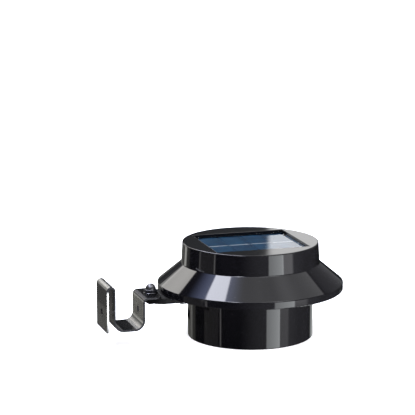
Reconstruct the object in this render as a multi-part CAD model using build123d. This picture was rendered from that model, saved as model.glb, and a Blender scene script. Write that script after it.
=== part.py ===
from build123d import *
import math
import os

# Round solar lamp with a bent steel hook. All sizes are in millimetres.
# The lamp's axis is Z, the standing rim lies on z = 0 and the hook points to -X.

# Lower housing
body_radius = 37.2
body_height = 28.2
housing_wall = 2.0
flange_thickness = 2.0
flange_clearance = 0.4
base_edge_radius = 0.6

# Top shell
rim_radius = 55.0
rim_height = 4.4
cone_height = 11.7
neck_radius = 41.0
crown_radius = 40.3
crown_height = 12.3
shell_wall = 2.0
shell_edge_radius = 0.6
seal_width = 3.0
seal_thickness = 1.0
seal_clearance = 0.3

# Solar panel in the crown
panel_width = 49.0
panel_corner_land = 2.9
panel_sink = 1.6
panel_clearance = 0.25
panel_board_thickness = 1.6
panel_cover_thickness = 0.8
recess_edge_radius = 0.3
pocket_wall = 1.6
pocket_floor = 1.6
cell_count = 4
cell_gap = 0.6
cell_margin = 1.4
cell_thickness = 0.3
ribbon_width = 1.4
ribbon_thickness = 0.15

# Screws and their bosses
screw_radius = 1.4
screw_head_radius = 2.6
screw_head_height = 1.8
screw_length = 8.0
screw_hole_clearance = 0.1
screw_pass_clearance = 0.3
screw_tip_room = 0.6
boss_radius = 3.0
shell_screw_count = 4
shell_screw_start = 45.0
cross_length = 3.0
cross_width = 0.8
cross_depth = 0.9

# Twist lens in the open bottom
lens_recess = 0.8
lens_thickness = 2.2
lens_clearance = 0.3
lug_count = 3
lug_start = 75.0
lug_reach = 1.3
lug_height = 1.2
lug_angle = 14.0
catch_angle = 24.0
stop_angle = 4.0
lens_seal_width = 2.0
lens_seal_thickness = 0.8
grip_edge = 9.6
grip_radius = 3.0
grip_depth = 0.9

# Reflector tray and its snap catches
ledge_thickness = 1.2
ledge_width = 2.4
tray_wall = 1.2
tray_clearance = 0.3
tray_depth = 4.0
tray_floor_radius = 24.0
snap_reach = 0.7
snap_height = 1.2
snap_angle = 10.0
snap_gap = 0.1

# Circuit board on the posts of the tray
post_count = 3
post_radius = 3.0
post_edge = 1.0
post_height = 6.8
circuit_board_thickness = 1.6
circuit_board_gap = 4.2
board_screw_radius = 1.1
board_screw_head_radius = 2.0
board_screw_head_height = 1.3
board_screw_length = 5.0

# Light diodes and parts on the circuit board
led_count = 3
led_start = 60.0
led_circle = 12.0
led_radius = 2.5
led_collar_radius = 2.9
led_collar_height = 1.0
led_body_height = 6.1
led_hole_clearance = 0.2
chip_length = 5.0
chip_width = 4.0
chip_height = 1.5
coil_radius = 4.0
coil_height = 6.0
coil_place = (-12.0, 0.0)
capacitor_radius = 2.5
capacitor_height = 8.0
capacitor_place = (12.0, -12.0)

# Slide switch under the edge of the circuit board
switch_azimuth = 171.0
switch_length = 9.0
switch_depth = 5.0
switch_height = 4.4
switch_overhang = 0.5
switch_travel = 3.0
stem_width = 2.0
stem_height = 1.7
stem_reach = 1.2
stem_drop = 3.05
stem_clearance = 0.3
slot_width = 10.0
slot_height = 5.5
knob_width = 5.0
knob_depth = 2.4
knob_clearance = 0.5
knob_sink = 1.6
groove_count = 3
groove_pitch = 1.2
groove_width = 0.6
groove_depth = 0.4

# Battery and its cradle
battery_radius = 7.1
battery_length = 50.5
battery_nub_radius = 2.7
battery_nub_length = 1.4
battery_edge_radius = 0.6
cradle_plate = 1.5
cradle_wall = 1.4
cradle_clearance = 0.3
cradle_ear_width = 14.0
cradle_ear_reach = 6.5
peg_radius = 1.2
peg_clearance = 0.1
peg_head_radius = 2.0
peg_head_height = 0.8
contact_width = 9.0
contact_thickness = 0.4
contact_tab = 2.0
contact_rise = 2.7
spring_room = 3.6

# Leads inside the lamp
lead_radius = 0.65
lead_spread = 2.5
lead_offset = 20.0
lead_hole_radius = 4.5
lead_landing = 15.0
lead_bend = 4.0

# Lamp arm under the rim
arm_width = 25.0
arm_thickness = 3.2
arm_clearance = 0.5
arm_end = 4.4
arm_corner_radius = 11.0
arm_screw_spread = 7.0
arm_boss_height = 3.8

# Clamp bolt, washer and cap nut
bolt_gap = 6.2
bolt_radius = 2.0
bolt_head_radius = 4.0
bolt_head_height = 2.6
bolt_neck_clearance = 0.1
bolt_run_clearance = 0.08
bolt_past_hook = 3.6
washer_radius = 4.2
washer_thickness = 0.5
nut_flats = 7.0
nut_hex_height = 1.6
nut_dome_radius = 3.05
nut_dome_lift = 0.45
nut_thread_clearance = 0.05

# Hook bracket, one bent strip
hook_width = 25.0
hook_thickness = 1.2
hook_gap = 2.0
hook_corner_radius = 5.0
leg_offset = 6.6
leg_bend_radius = 1.5
seat_inside = 16.4
leg_seat_radius = 5.0
fold_seat_radius = 4.8
seat_drop = 18.1
fold_rise = 8.0
fold_radius = 2.67
plate_length = 27.6
plate_corner_radius = 1.0
hook_hole_radius = 1.75
hook_hole_drop = 9.1

# Places that follow from the sizes above
flange_top = body_height + flange_thickness
rim_top = body_height + rim_height
neck_z = rim_top + cone_height
crown_z = neck_z + crown_height
housing_inside = body_radius - housing_wall
rim_inside = rim_radius - shell_wall
seal_inside = rim_inside - seal_width
screw_circle = (body_radius + seal_inside) / 2
cone_slope = cone_height / (rim_radius - neck_radius)
panel_face = crown_z - panel_sink
panel_board_top = panel_face - panel_cover_thickness
panel_board_bottom = panel_board_top - panel_board_thickness
pocket_bottom = panel_board_bottom - pocket_floor
recess_reach = crown_radius - panel_corner_land
panel_length = 2 * math.sqrt(recess_reach**2 - (panel_width / 2) ** 2)
lens_top = lens_recess + lens_thickness
lens_radius = housing_inside - lug_reach - lens_clearance
ledge_bottom = lens_top + lens_seal_thickness
ledge_top = ledge_bottom + ledge_thickness
tray_floor = ledge_top + tray_depth
post_circle = tray_floor_radius - post_radius - post_edge
board_bottom = tray_floor + tray_wall + post_height
board_top = board_bottom + circuit_board_thickness
board_radius = housing_inside - circuit_board_gap
slot_z = board_bottom - stem_drop
battery_axis_z = flange_top + cradle_plate + cradle_clearance + battery_radius
cradle_half = (battery_length + spring_room + contact_thickness) / 2
peg_y = housing_inside + cradle_ear_reach / 2
contact_low = flange_top - contact_tab
contact_top = battery_axis_z + contact_rise
arm_bottom = body_height - arm_thickness
hook_top = body_height + hook_thickness
washer_top = hook_top + washer_thickness
bolt_x = -(rim_radius + bolt_gap)
bolt_top = hook_top + bolt_past_hook
leg_x = bolt_x - leg_offset - hook_thickness
middle_x = leg_x - seat_inside

BOTH_SIDES = (-1, 1)
FROM_BELOW = (Align.CENTER, Align.CENTER, Align.MIN)
FROM_CORNER = (Align.MIN, Align.MIN, Align.MIN)
SPARE = 1.0  # how far a cut runs past the face that it opens


def rod(radius, low, high, x=0.0, y=0.0):
    """Upright cylinder between two heights."""
    return Pos(x, y, low) * Cylinder(radius, high - low, align=FROM_BELOW)


def hole(radius, low, high, x=0.0, y=0.0):
    """Upright cut that runs past both heights."""
    return rod(radius, low - SPARE, high + SPARE, x, y)


def ring(inner, outer, low, high):
    """Flat ring about the lamp's axis."""
    return rod(outer, low, high) - hole(inner, low, high)


def block(x_range, y_range, z_range):
    """Box between pairs of limits."""
    ranges = (x_range, y_range, z_range)
    size = [high - low for low, high in ranges]
    return Pos(*[low for low, high in ranges]) * Box(*size, align=FROM_CORNER)


def span(half, middle=0.0):
    """Pair of limits on both sides of a middle."""
    return (middle - half, middle + half)


def lathe(points):
    """Solid turned about the lamp's axis from radius and height pairs."""
    return revolve(Plane.XZ * make_face(Polyline(*points, close=True)), Axis.Z)


def sector(inner, outer, low, high, middle, angle):
    """Piece of a ring that spans an angle, centred on an azimuth."""
    reach_x = 2 * outer
    reach_y = reach_x * math.tan(math.radians(angle / 2))
    wedge = make_face(Polyline((0, 0), (reach_x, -reach_y), (reach_x, reach_y), close=True))
    cut = Pos(0, 0, low) * extrude(wedge, high - low)
    return Rot(0, 0, middle) * (ring(inner, outer, low, high) & cut)


def around(count, start, piece):
    """The same piece repeated evenly about the lamp's axis."""
    return [Rot(0, 0, start + i * 360 / count) * piece for i in range(count)]


def pan_screw(radius, head_radius, head_height, length):
    """Pan head screw with a cross recess, its head below z = 0 and its shank above."""
    head = rod(head_radius, -head_height, 0)
    head = fillet(head.edges().group_by(Axis.Z)[0], head_height / 2)
    recess_z = (-head_height - SPARE, -head_height + cross_depth)
    for spin in (0, 90):
        head -= Rot(0, 0, spin) * block(span(cross_length / 2), span(cross_width / 2), recess_z)
    shank = rod(radius, 0, length)
    return head + fillet(shank.edges().group_by(Axis.Z)[-1], radius / 2)


def lead(points):
    """Round insulated wire, with bent corners where it has any."""
    path = Polyline(*points) if len(points) == 2 else FilletPolyline(*points, radius=lead_bend)
    return sweep(Plane(path @ 0, z_dir=path % 0) * Circle(lead_radius), path)


def cone_inside_z(radius):
    """Height of the skirt's inner face at a radius."""
    outside_z = rim_top + (rim_radius - radius) * cone_slope
    return outside_z - shell_wall * math.sqrt(1 + cone_slope**2)


def panel_block(inset, low, high):
    """Rectangle of the panel recess, drawn in by an inset, between two heights."""
    return block(span(panel_length / 2 - inset), span(panel_width / 2 - inset), (low, high))


def make_top_shell():
    """Black shell with a crown, a conical skirt and a pocket for the panel."""
    outside = lathe(
        [
            (0, body_height),
            (rim_radius, body_height),
            (rim_radius, rim_top),
            (neck_radius, neck_z),
            (crown_radius, crown_z),
            (0, crown_z),
        ]
    )
    outside = fillet(outside.edges().filter_by(GeomType.CIRCLE), shell_edge_radius)
    neck_inside = neck_radius - shell_wall
    inside = lathe(
        [
            (0, body_height - SPARE),
            (rim_inside, body_height - SPARE),
            (rim_inside, flange_top + seal_thickness),
            (seal_inside, flange_top + seal_thickness),
            (seal_inside, cone_inside_z(seal_inside)),
            (neck_inside, cone_inside_z(neck_inside)),
            (crown_radius - shell_wall, crown_z - shell_wall),
            (0, crown_z - shell_wall),
        ]
    )
    shell = outside - inside
    shell += panel_block(-pocket_wall, pocket_bottom, crown_z - shell_wall / 2) & outside
    shell -= panel_block(0, panel_board_bottom, crown_z + SPARE)
    crown_lines = shell.edges().filter_by(GeomType.LINE).group_by(Axis.Z)[-1]
    shell = fillet(crown_lines, recess_edge_radius)
    shell -= hole(lead_hole_radius, pocket_bottom, panel_board_bottom, lead_offset)
    boss = rod(boss_radius, flange_top, neck_z, screw_circle)
    for piece in around(shell_screw_count, shell_screw_start, boss):
        shell += piece & outside
    pilot_top = body_height + screw_length + screw_tip_room
    pilot = rod(screw_radius + screw_hole_clearance, body_height, pilot_top, screw_circle)
    for piece in around(shell_screw_count, shell_screw_start, pilot):
        shell -= piece
    return shell


def make_panel():
    """Backing board, cell strips, silver ribbons and the clear layer cast over them."""
    board = panel_block(panel_clearance, panel_board_bottom, panel_board_top)
    half_y = panel_width / 2 - panel_clearance - cell_margin
    usable = panel_length - 2 * (panel_clearance + cell_margin)
    cell_width = (usable - (cell_count - 1) * cell_gap) / cell_count
    cell_top = panel_board_top + cell_thickness
    cells = []
    ribbons = []
    for i in range(cell_count):
        low_x = -usable / 2 + i * (cell_width + cell_gap)
        x_range = (low_x, low_x + cell_width)
        cells.append(block(x_range, span(half_y), (panel_board_top, cell_top)))
        ribbons.append(block(x_range, span(ribbon_width / 2), (cell_top, cell_top + ribbon_thickness)))
    cover = panel_block(panel_clearance, panel_board_top, panel_face)
    for piece in cells + ribbons:
        cover -= piece
    return board, cells, ribbons, cover


def make_lower_housing():
    """Black cylinder with a flange that closes the skirt, and all the seats inside it."""
    grip = housing_inside + housing_wall / 2
    housing = ring(housing_inside, body_radius, 0, flange_top)
    base_edges = housing.edges().group_by(Axis.Z)[0].sort_by(SortBy.RADIUS)
    housing = fillet(base_edges[-1], base_edge_radius)
    housing += ring(grip, rim_inside - flange_clearance, body_height, flange_top)
    housing += ring(housing_inside - ledge_width, grip, ledge_bottom, ledge_top)
    catch_inside = housing_inside - lug_reach
    stop_middle = -(lug_angle + stop_angle) / 2 - math.degrees(lens_clearance / housing_inside)
    catch = sector(catch_inside, grip, lens_recess, lens_top - lug_height, 0, catch_angle)
    stop = sector(catch_inside, grip, lens_recess, lens_top, stop_middle, stop_angle)
    snap_low = ledge_top + tray_wall + snap_gap
    snap = sector(housing_inside - snap_reach, grip, snap_low, snap_low + snap_height, 0, snap_angle)
    for piece in around(lug_count, lug_start, catch + stop) + around(lug_count, lug_start, snap):
        housing += piece
    passage = hole(screw_radius + screw_pass_clearance, body_height, flange_top, screw_circle)
    for piece in around(shell_screw_count, shell_screw_start, passage):
        housing -= piece
    boss_top = flange_top + arm_boss_height
    plate_top = flange_top + cradle_plate
    for side in BOTH_SIDES:
        screw_y = side * arm_screw_spread
        housing += rod(boss_radius, body_height, boss_top, -screw_circle, screw_y)
        housing -= hole(screw_radius + screw_hole_clearance, body_height, boss_top, -screw_circle, screw_y)
        housing += rod(peg_radius, body_height, plate_top, 0, side * peg_y)
        housing += rod(peg_head_radius, plate_top, plate_top + peg_head_height, 0, side * peg_y)
    slot_x = (housing_inside - housing_wall, body_radius + SPARE)
    slot = block(slot_x, span(slot_width / 2), span(slot_height / 2, slot_z))
    return housing - Rot(0, 0, switch_azimuth) * slot


def make_lens():
    """Frosted disc with lugs for the twist lock and two finger dimples."""
    lens = rod(lens_radius, lens_recess, lens_top)
    lug_outside = housing_inside - lens_clearance
    lug = sector(lens_radius - lug_reach, lug_outside, lens_top - lug_height, lens_top, 0, lug_angle)
    for piece in around(lug_count, lug_start, lug):
        lens += piece
    for side in BOTH_SIDES:
        dimple_x = side * (lens_radius - grip_edge)
        lens -= rod(grip_radius, lens_recess - SPARE, lens_recess + grip_depth, dimple_x)
    return lens


def make_reflector():
    """White tray over the diodes, with posts for the circuit board."""
    slope_foot = housing_inside - ledge_width
    rim = housing_inside - tray_clearance
    tray = lathe(
        [
            (0, tray_floor),
            (tray_floor_radius, tray_floor),
            (slope_foot, ledge_top),
            (rim, ledge_top),
            (rim, ledge_top + tray_wall),
            (slope_foot, ledge_top + tray_wall),
            (tray_floor_radius, tray_floor + tray_wall),
            (0, tray_floor + tray_wall),
        ]
    )
    for piece in around(post_count, 0, rod(post_radius, tray_floor, board_bottom, post_circle)):
        tray += piece
    pilot_low = board_bottom + circuit_board_thickness - board_screw_length - screw_tip_room
    pilot = rod(board_screw_radius + screw_hole_clearance, pilot_low, board_top, post_circle)
    window = hole(led_radius + led_hole_clearance, tray_floor, tray_floor + tray_wall, led_circle)
    for piece in around(post_count, 0, pilot) + around(led_count, led_start, window):
        tray -= piece
    return tray


def make_leds():
    """Round light diodes that hang from the circuit board."""
    collar_low = board_bottom - led_collar_height
    body_low = collar_low - led_body_height
    led = rod(led_collar_radius, collar_low, board_bottom, led_circle)
    led += rod(led_radius, body_low, collar_low, led_circle)
    led += Pos(led_circle, 0, body_low) * Sphere(led_radius)
    return around(led_count, led_start, led)


def make_board():
    """Circuit board with its driver chip, coil and capacitor."""
    board = rod(board_radius, board_bottom, board_top)
    passage = hole(board_screw_radius + screw_pass_clearance, board_bottom, board_top, post_circle)
    for piece in around(post_count, 0, passage):
        board -= piece
    chip = block(span(chip_length / 2), span(chip_width / 2), (board_top, board_top + chip_height))
    coil = rod(coil_radius, board_top, board_top + coil_height, *coil_place)
    capacitor = rod(capacitor_radius, board_top, board_top + capacitor_height, *capacitor_place)
    return board, chip, coil, capacitor


def make_switch():
    """Switch body under the board's edge and the slider that shows in the wall's slot."""
    turn = Rot(0, 0, switch_azimuth)
    face = board_radius + switch_overhang
    body_z = (board_bottom - switch_height, board_bottom)
    body = block((face - switch_depth, face), span(switch_length / 2), body_z)
    track_x = (face - stem_reach - stem_clearance, face + SPARE)
    track_half = (stem_width + switch_travel) / 2 + stem_clearance
    body -= block(track_x, span(track_half), span(stem_height / 2 + stem_clearance, slot_z))
    rest_y = -switch_travel / 2
    knob_face = body_radius - knob_sink
    knob_z = span(slot_height / 2 - knob_clearance, slot_z)
    stem_x = (face - stem_reach, knob_face - knob_depth / 2)
    slider = block(stem_x, span(stem_width / 2, rest_y), span(stem_height / 2, slot_z))
    slider += block((knob_face - knob_depth, knob_face), span(knob_width / 2, rest_y), knob_z)
    for i in range(groove_count):
        groove_y = rest_y + (i - (groove_count - 1) / 2) * groove_pitch
        groove_x = (knob_face - groove_depth, knob_face + SPARE)
        slider -= block(groove_x, span(groove_width / 2, groove_y), knob_z)
    return turn * body, turn * slider


def make_cradle():
    """Open tray for the battery, carried by two ears on the flange."""
    half_x = battery_radius + cradle_clearance
    plate_z = (flange_top, flange_top + cradle_plate)
    outer_x = span(half_x + cradle_wall)
    cradle = block(outer_x, span(cradle_half + cradle_wall), (flange_top, battery_axis_z))
    cradle -= block(span(half_x), span(cradle_half), (plate_z[1], battery_axis_z + SPARE))
    cradle += block(span(cradle_ear_width / 2), span(housing_inside + cradle_ear_reach), plate_z)
    slit_depth = (contact_thickness + cradle_clearance) / 2
    for side in BOTH_SIDES:
        cradle -= hole(peg_radius + peg_clearance, *plate_z, 0, side * peg_y)
        slit_y = span(slit_depth, side * (cradle_half - slit_depth))
        cradle -= block(span(contact_width / 2 + cradle_clearance), slit_y, plate_z)
    return cradle


def make_battery():
    """Cell of AA size with its nub towards +Y."""
    can_length = battery_length - battery_nub_length
    can = rod(battery_radius, 0, can_length)
    can = fillet(can.edges().filter_by(GeomType.CIRCLE), battery_edge_radius)
    can += rod(battery_nub_radius, can_length, battery_length)
    return Pos(0, spring_room - cradle_half, battery_axis_z) * Rot(-90, 0, 0) * can


def make_contacts():
    """Flat contact at the nub and bowed spring contact at the other end."""
    half_x = contact_width / 2
    plate_z = (contact_low, contact_top)
    plate = block(span(half_x), (cradle_half - contact_thickness, cradle_half), plate_z)
    back_y = contact_thickness - cradle_half
    spring = block(span(half_x), (-cradle_half, back_y), plate_z)
    tip_y = spring_room - cradle_half
    bow = Polyline(
        (-cradle_half, contact_top),
        (back_y, contact_top),
        (tip_y, battery_axis_z),
        (back_y + 2 * contact_thickness, battery_axis_z - contact_rise),
        (back_y + contact_thickness, battery_axis_z - contact_rise),
        (tip_y - contact_thickness, battery_axis_z),
        close=True,
    )
    spring += extrude(Plane.YZ * make_face(bow), half_x, both=True)
    return plate, spring


def make_leads():
    """Panel leads down to the circuit board, and short leads from the battery contacts."""
    panel_leads = []
    battery_leads = []
    tab_y = cradle_half - contact_thickness / 2
    for side in BOTH_SIDES:
        near_y = side * lead_spread
        far_y = 2 * near_y
        route = [
            (lead_offset, near_y, panel_board_bottom),
            (lead_offset, near_y, pocket_bottom - lead_bend),
            (lead_landing, far_y, flange_top),
            (lead_landing, far_y, board_top),
        ]
        panel_leads.append(lead(route))
        battery_leads.append(lead([(0, side * tab_y, contact_low), (0, side * tab_y, board_top)]))
    return panel_leads, battery_leads


def make_screws():
    """Housing screws from below, arm screws beside them and board screws from above."""
    screw = pan_screw(screw_radius, screw_head_radius, screw_head_height, screw_length)
    housing_screw = Pos(screw_circle, 0, body_height) * screw
    arm_screws = [Pos(-screw_circle, side * arm_screw_spread, arm_bottom) * screw for side in BOTH_SIDES]
    small_screw = pan_screw(
        board_screw_radius, board_screw_head_radius, board_screw_head_height, board_screw_length
    )
    board_screw = Pos(post_circle, 0, board_top) * Rot(180, 0, 0) * small_screw
    housing_screws = around(shell_screw_count, shell_screw_start, housing_screw)
    return housing_screws, arm_screws, around(post_count, 0, board_screw)


def make_lamp_arm():
    """Flat moulded arm under the rim, with a square hole for the bolt's neck."""
    arm_z = (arm_bottom, body_height)
    arm = block((bolt_x - arm_end, -body_radius / 2), span(arm_width / 2), arm_z)
    arm = fillet(arm.edges().filter_by(Axis.Z).group_by(Axis.X)[0], arm_corner_radius)
    arm -= hole(body_radius + arm_clearance, *arm_z)
    for side in BOTH_SIDES:
        arm -= hole(screw_radius + screw_pass_clearance, *arm_z, -screw_circle, side * arm_screw_spread)
    neck = bolt_radius + bolt_neck_clearance
    return arm - block(span(neck, bolt_x), span(neck), (arm_bottom - SPARE, body_height + SPARE))


def make_clamp():
    """Round headed bolt with a square neck, washer and cap nut."""
    ball = (bolt_head_radius**2 + bolt_head_height**2) / (2 * bolt_head_height)
    head_low = arm_bottom - bolt_head_height
    bolt = Pos(bolt_x, 0, head_low + ball) * Sphere(ball) & rod(2 * ball, head_low, arm_bottom, bolt_x)
    bolt += block(span(bolt_radius, bolt_x), span(bolt_radius), (arm_bottom, body_height))
    bolt += rod(bolt_radius, arm_bottom, bolt_top, bolt_x)
    washer = ring(bolt_radius + bolt_run_clearance, washer_radius, hook_top, washer_top)
    hexagon = extrude(RegularPolygon(nut_flats / 2, 6, major_radius=False), nut_hex_height)
    dome_z = washer_top + nut_hex_height + nut_dome_lift
    nut = Pos(bolt_x, 0, washer_top) * hexagon
    nut += rod(nut_dome_radius, washer_top, dome_z, bolt_x)
    ball_half = rod(2 * nut_dome_radius, dome_z, dome_z + nut_dome_radius, bolt_x)
    nut += Pos(bolt_x, 0, dome_z) * Sphere(nut_dome_radius) & ball_half
    nut -= rod(bolt_radius + nut_thread_clearance, hook_top, bolt_top + nut_thread_clearance, bolt_x)
    return bolt, Pos(bolt_x, 0, 0) * washer, nut


def hook_side(inset):
    """One face of the bent strip, seen from the side, drawn in from its upper face."""
    seat_z = hook_top - seat_drop
    fold_top = hook_top + fold_rise
    bend = leg_bend_radius + hook_thickness
    arm_z = hook_top - inset
    arm = Line((-(rim_radius + hook_gap), arm_z), (leg_x + bend, arm_z))
    arm_bend = JernArc(arm @ 1, (-1, 0), bend - inset, 90)
    leg = Line(arm_bend @ 1, (leg_x + inset, seat_z + leg_seat_radius))
    near_corner = JernArc(leg @ 1, (0, -1), leg_seat_radius + inset, -90)
    seat = Line(near_corner @ 1, (middle_x + fold_seat_radius, seat_z - inset))
    far_corner = JernArc(seat @ 1, (-1, 0), fold_seat_radius + inset, -90)
    middle = Line(far_corner @ 1, (middle_x - inset, fold_top - fold_radius))
    fold = JernArc(middle @ 1, (0, 1), fold_radius - inset, 180)
    plate = Line(fold @ 1, ((fold @ 1).X, fold_top - plate_length))
    return [arm, arm_bend, leg, near_corner, seat, far_corner, middle, fold, plate]


def make_hook():
    """Bent strip: arm, leg, wide seat, hairpin fold and outer plate."""
    upper = hook_side(0)
    lower = hook_side(hook_thickness)
    ends = [Line(upper[0] @ 0, lower[0] @ 0), Line(upper[-1] @ 1, lower[-1] @ 1)]
    strip = Plane.XZ * make_face(upper + lower + ends)
    hook = extrude(strip, hook_width / 2, both=True)
    hook = fillet(hook.edges().filter_by(Axis.Z).group_by(Axis.X)[-1], hook_corner_radius)
    plate_corners = hook.edges().filter_by(Axis.X).group_by(Axis.X)[0]
    hook = fillet(plate_corners, plate_corner_radius)
    hook -= hole(bolt_radius + bolt_run_clearance, body_height, hook_top, bolt_x)
    screw_hole = Cylinder(hook_hole_radius, 2 * seat_inside)
    hole_x = leg_x - seat_inside / 2
    return hook - Pos(hole_x, 0, hook_top - hook_hole_drop) * Rot(0, 90, 0) * screw_hole


def save(name, pieces):
    """Write one node, a single solid or a group of separate solids."""
    group = pieces if isinstance(pieces, list) else [pieces]
    solids = [solid for piece in group for solid in piece.solids()]
    export_step(solids[0] if len(solids) == 1 else Compound(solids), f"parts/{name}.step")


os.makedirs("parts", exist_ok=True)
panel_board, solar_cells, cell_ribbons, panel_cover = make_panel()
circuit_board, driver_chip, inductor, capacitor = make_board()
switch_body, switch_slider = make_switch()
positive_contact, spring_contact = make_contacts()
panel_leads, battery_leads = make_leads()
housing_screws, arm_screws, board_screws = make_screws()
clamp_bolt, washer, cap_nut = make_clamp()
seal_z = (flange_top, flange_top + seal_thickness)
nodes = {
    "top_shell": make_top_shell(),
    "panel_board": panel_board,
    "solar_cells": solar_cells,
    "cell_ribbons": cell_ribbons,
    "panel_cover": panel_cover,
    "shell_seal": ring(seal_inside + seal_clearance, rim_inside - seal_clearance, *seal_z),
    "lower_housing": make_lower_housing(),
    "lens": make_lens(),
    "lens_seal": ring(lens_radius - lens_seal_width, lens_radius, lens_top, ledge_bottom),
    "reflector": make_reflector(),
    "light_diodes": make_leds(),
    "circuit_board": circuit_board,
    "driver_chip": driver_chip,
    "inductor": inductor,
    "capacitor": capacitor,
    "board_screws": board_screws,
    "switch_body": switch_body,
    "switch_slider": switch_slider,
    "battery_cradle": make_cradle(),
    "battery": make_battery(),
    "positive_contact": positive_contact,
    "spring_contact": spring_contact,
    "panel_lead_black": panel_leads[0],
    "panel_lead_red": panel_leads[1],
    "battery_lead_black": battery_leads[0],
    "battery_lead_red": battery_leads[1],
    "housing_screws": housing_screws,
    "lamp_arm": make_lamp_arm(),
    "arm_screws": arm_screws,
    "clamp_bolt": clamp_bolt,
    "washer": washer,
    "cap_nut": cap_nut,
    "hook_bracket": make_hook(),
}
for name, pieces in nodes.items():
    save(name, pieces)
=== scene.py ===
import math

import bmesh
import bpy
from mathutils import Matrix, Vector


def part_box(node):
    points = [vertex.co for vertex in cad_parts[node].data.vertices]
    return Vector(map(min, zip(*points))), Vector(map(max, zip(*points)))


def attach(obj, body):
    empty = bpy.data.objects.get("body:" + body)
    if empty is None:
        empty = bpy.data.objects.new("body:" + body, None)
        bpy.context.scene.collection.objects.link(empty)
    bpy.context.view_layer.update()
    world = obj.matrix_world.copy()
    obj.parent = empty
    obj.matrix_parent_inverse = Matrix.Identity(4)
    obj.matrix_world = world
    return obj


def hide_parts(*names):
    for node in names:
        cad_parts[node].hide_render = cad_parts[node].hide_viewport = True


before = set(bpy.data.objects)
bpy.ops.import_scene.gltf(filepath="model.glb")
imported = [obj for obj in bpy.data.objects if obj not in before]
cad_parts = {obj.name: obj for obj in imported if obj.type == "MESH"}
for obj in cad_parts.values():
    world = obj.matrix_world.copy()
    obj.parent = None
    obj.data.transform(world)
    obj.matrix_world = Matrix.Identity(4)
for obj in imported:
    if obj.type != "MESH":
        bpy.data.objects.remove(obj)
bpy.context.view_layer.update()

# Lower housing: the black cylinder that stands on the floor and carries the inner parts.
# Injection moulded in glossy black plastic, open at the foot for the lens, with a flange
# that closes the skirt and a slot in its wall for the switch.


class Wire:
    """One socket of a finish. Sums written on it become Math nodes."""

    def __init__(self, tree, socket=None):
        self.tree = tree
        self.socket = socket

    def node(self, kind, settings=None, sockets=None, out=0):
        """Add a node: its settings first, then a value or a link for each socket."""
        made = self.tree.nodes.new(kind)
        for name, value in (settings or {}).items():
            setattr(made, name, value)
        for name, value in (sockets or {}).items():
            if isinstance(value, Wire):
                self.tree.links.new(value.socket, made.inputs[name])
            else:
                made.inputs[name].default_value = value
        return Wire(self.tree, made.outputs[out] if made.outputs else None)

    def math(self, operation, *values):
        """Add a Math node for an operation that has no sign of its own."""
        return self.node("ShaderNodeMath", {"operation": operation}, dict(enumerate(values)))

    def __add__(self, other):
        return self.math("ADD", self, other)

    def __sub__(self, other):
        return self.math("SUBTRACT", self, other)

    def __rsub__(self, other):
        return self.math("SUBTRACT", other, self)

    def __mul__(self, other):
        return self.math("MULTIPLY", self, other)

    def __truediv__(self, other):
        return self.math("DIVIDE", self, other)

    def __lt__(self, other):
        return self.math("LESS_THAN", self, other)

    def __gt__(self, other):
        return self.math("GREATER_THAN", self, other)

    __radd__ = __add__
    __rmul__ = __mul__


def new_finish(name):
    """An empty finish, the wire that its nodes start from, and the place in millimetres."""
    material = bpy.data.materials.new(name)
    material.use_nodes = True
    material.node_tree.nodes.clear()
    tree = Wire(material.node_tree)
    place = tree.node("ShaderNodeTexCoord", out="Object")
    in_mm = tree.node("ShaderNodeVectorMath", {"operation": "SCALE"}, {0: place, "Scale": 1000.0})
    return material, tree, in_mm


def grain(tree, place, size, detail=2.0, stretch=(1, 1, 1)):
    """Cloudy value from 0 to 1 whose patches are about one size across, in millimetres."""
    drawn = tree.node("ShaderNodeVectorMath", {"operation": "MULTIPLY"}, {0: place, 1: stretch})
    look = {"Vector": drawn, "Scale": 1 / size, "Detail": detail}
    return tree.node("ShaderNodeTexNoise", None, look)


def tint(tree, share, first, second):
    """Colour between two colours."""
    return tree.node("ShaderNodeMix", {"data_type": "RGBA"}, {0: share, 6: first, 7: second}, out=2)


def relief(tree, height_mm):
    """Surface that rises and falls by a height in millimetres."""
    look = {"Strength": 1.0, "Distance": 0.001, "Height": height_mm}
    return tree.node("ShaderNodeBump", None, look)


def surface(tree, sockets):
    """Close a finish with its shader."""
    shader = tree.node("ShaderNodeBsdfPrincipled", None, sockets)
    tree.node("ShaderNodeOutputMaterial", None, {"Surface": shader})


def dress(node, material):
    """Give a CAD node its finish."""
    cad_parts[node].material_slots[0].material = material


def glossy_black(name, dark, pale):
    """Moulded black plastic with handling smears, a faint moulded wave and specks of dust."""
    material, tree, place = new_finish(name)
    smear = grain(tree, place, 17.0, 5.0)
    wave = grain(tree, place, 5.0, 1.0)
    skin = grain(tree, place, 0.4, 2.0)
    speck = tree.node("ShaderNodeTexVoronoi", None, {"Vector": place, "Scale": 0.3}) < 0.035
    plastic = tint(tree, smear, dark, pale)
    surface(tree, {
        "Base Color": tint(tree, speck * 0.35, plastic, (0.16, 0.16, 0.15, 1)),
        "Roughness": 0.03 + 0.04 * smear + 0.01 * skin + 0.25 * speck,
        "Specular IOR Level": 0.34,
        "Normal": relief(tree, 0.0016 * wave + 0.0001 * skin + 0.003 * speck),
    })
    return material


gloss_dark = (0.0014, 0.0014, 0.0019, 1)
gloss_pale = (0.0030, 0.0028, 0.0036, 1)
dress("lower_housing", glossy_black("housing_black", gloss_dark, gloss_pale))

# Lens and its seal: a frosted disc that twists into the open foot of the housing.
# Moulded in milky clear plastic, with a fine prismed inner face and two finger dimples,
# pressed on a flat ring of black rubber.


def grey(value):
    """Colour without a tint."""
    return (value, value, value, 1)


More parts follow.
